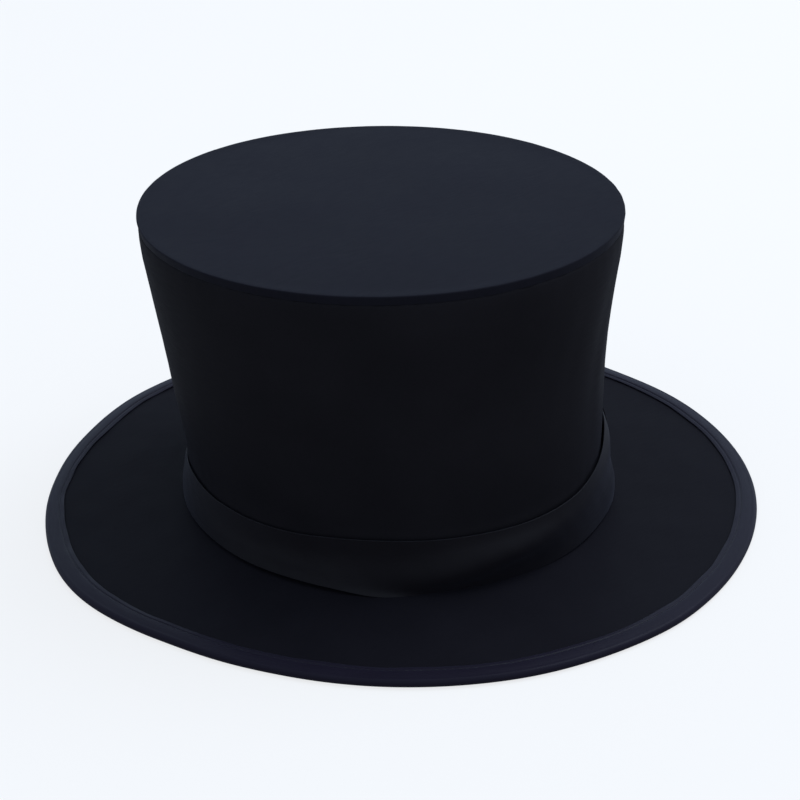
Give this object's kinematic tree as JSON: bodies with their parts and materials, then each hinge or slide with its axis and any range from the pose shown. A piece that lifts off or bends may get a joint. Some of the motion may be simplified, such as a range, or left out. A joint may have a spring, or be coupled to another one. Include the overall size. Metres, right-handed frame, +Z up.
{
  "type": "folding top hat",
  "caption": "Black satin folding top hat: flat oval brim with bound edge, satin band and a taut crown that flares to a flat tip and folds down on sprung struts.",
  "frame": {"origin": "middle of the head opening, on the plane the brim rests on", "axes": "+Z up through the crown, -Y towards the front of the hat as worn, +X towards the wearer's left"},
  "size_m": [0.314, 0.342, 0.137],
  "materials": {
    "crown_satin": "black satin, soft sheen",
    "binding_satin": "black satin cut on the bias",
    "band_satin": "black satin",
    "stiffener": "stiffened buckram",
    "lining": "black lining cloth",
    "sweatband": "dark brown leather, semi-matt",
    "ring_steel": "spring steel",
    "bracket_steel": "pressed steel",
    "arm_steel": "flat spring steel",
    "rivet_brass": "brass",
    "spring_steel": "blued spring steel"
  },
  "bodies": {
    "brim_and_base": {"brim_lower_cover": "crown_satin", "brim_core": "stiffener", "brim_upper_cover": "crown_satin", "brim_edge_wire": "ring_steel", "brim_binding": "binding_satin", "base_ring": "ring_steel", "crown_collar": "stiffener", "hatband": "band_satin", "hatband_lap": "band_satin", "sweatband": "sweatband", "crown_side_cover": "crown_satin", "crown_lining": "lining", "base_bracket_right_front": "bracket_steel", "base_rivet_right_front": "rivet_brass", "base_bracket_left_front": "bracket_steel", "base_rivet_left_front": "rivet_brass", "base_bracket_right_back": "bracket_steel", "base_rivet_right_back": "rivet_brass", "base_bracket_left_back": "bracket_steel", "base_rivet_left_back": "rivet_brass"},
    "lower_arm_right_front": {"lower_arm_right_front": "arm_steel", "knee_rivet_right_front": "rivet_brass", "knee_spring_right_front": "spring_steel"},
    "upper_arm_right_front": {"upper_arm_right_front": "arm_steel"},
    "lower_arm_left_front": {"lower_arm_left_front": "arm_steel", "knee_rivet_left_front": "rivet_brass", "knee_spring_left_front": "spring_steel"},
    "upper_arm_left_front": {"upper_arm_left_front": "arm_steel"},
    "lower_arm_right_back": {"lower_arm_right_back": "arm_steel", "knee_rivet_right_back": "rivet_brass", "knee_spring_right_back": "spring_steel"},
    "upper_arm_right_back": {"upper_arm_right_back": "arm_steel"},
    "lower_arm_left_back": {"lower_arm_left_back": "arm_steel", "knee_rivet_left_back": "rivet_brass", "knee_spring_left_back": "spring_steel"},
    "upper_arm_left_back": {"upper_arm_left_back": "arm_steel"},
    "crown_tip": {"tip_cover": "crown_satin", "tip_board": "stiffener", "top_ring": "ring_steel", "tip_lining": "lining", "top_bracket_right_front": "bracket_steel", "top_rivet_right_front": "rivet_brass", "top_bracket_left_front": "bracket_steel", "top_rivet_left_front": "rivet_brass", "top_bracket_right_back": "bracket_steel", "top_rivet_right_back": "rivet_brass", "top_bracket_left_back": "bracket_steel", "top_rivet_left_back": "rivet_brass"}
  },
  "joints": [
    {"name": "crown_fold", "type": "hinge", "parent": "brim_and_base", "child": "lower_arm_right_front", "pos_m": [-0.07211, -0.056, 0.0115], "axis": [-0.9608, -0.2772, 0], "range_deg": [0, 84], "deforming": ["crown_side_cover", "crown_lining"]},
    {"name": "knee_right_front", "type": "hinge", "parent": "lower_arm_right_front", "child": "upper_arm_right_front", "pos_m": [-0.07211, -0.056, 0.0615], "axis": [-0.9608, -0.2772, 0], "range_deg": [-168, 0], "stiffness_Nm_per_rad": 0.05, "springref_deg": 51.57},
    {"name": "tip_pivot", "type": "hinge", "parent": "upper_arm_right_front", "child": "crown_tip", "pos_m": [-0.07211, -0.056, 0.1115], "axis": [-0.9608, -0.2772, 0], "range_deg": [0, 84]},
    {"name": "base_pivot_left_front", "type": "hinge", "parent": "brim_and_base", "child": "lower_arm_left_front", "pos_m": [0.07211, -0.056, 0.0115], "axis": [-0.9608, 0.2772, 0], "range_deg": [0, 84]},
    {"name": "knee_left_front", "type": "hinge", "parent": "lower_arm_left_front", "child": "upper_arm_left_front", "pos_m": [0.07211, -0.056, 0.0615], "axis": [-0.9608, 0.2772, 0], "range_deg": [-168, 0], "stiffness_Nm_per_rad": 0.05, "springref_deg": 51.57},
    {"name": "base_pivot_right_back", "type": "hinge", "parent": "brim_and_base", "child": "lower_arm_right_back", "pos_m": [-0.07211, 0.056, 0.0115], "axis": [0.9608, -0.2772, 0], "range_deg": [0, 84]},
    {"name": "knee_right_back", "type": "hinge", "parent": "lower_arm_right_back", "child": "upper_arm_right_back", "pos_m": [-0.07211, 0.056, 0.0615], "axis": [0.9608, -0.2772, 0], "range_deg": [-168, 0], "stiffness_Nm_per_rad": 0.05, "springref_deg": 51.57},
    {"name": "base_pivot_left_back", "type": "hinge", "parent": "brim_and_base", "child": "lower_arm_left_back", "pos_m": [0.07211, 0.056, 0.0115], "axis": [0.9608, 0.2772, 0], "range_deg": [0, 84]},
    {"name": "knee_left_back", "type": "hinge", "parent": "lower_arm_left_back", "child": "upper_arm_left_back", "pos_m": [0.07211, 0.056, 0.0615], "axis": [0.9608, 0.2772, 0], "range_deg": [-168, 0], "stiffness_Nm_per_rad": 0.05, "springref_deg": 51.57}
  ],
  "couplings": [
    {"joint": "knee_right_front", "follows": "crown_fold", "ratio": -2},
    {"joint": "tip_pivot", "follows": "crown_fold", "ratio": 1},
    {"joint": "base_pivot_left_front", "follows": "crown_fold", "ratio": 1},
    {"joint": "knee_left_front", "follows": "crown_fold", "ratio": -2},
    {"joint": "base_pivot_right_back", "follows": "crown_fold", "ratio": 1},
    {"joint": "knee_right_back", "follows": "crown_fold", "ratio": -2},
    {"joint": "base_pivot_left_back", "follows": "crown_fold", "ratio": 1},
    {"joint": "knee_left_back", "follows": "crown_fold", "ratio": -2}
  ]
}
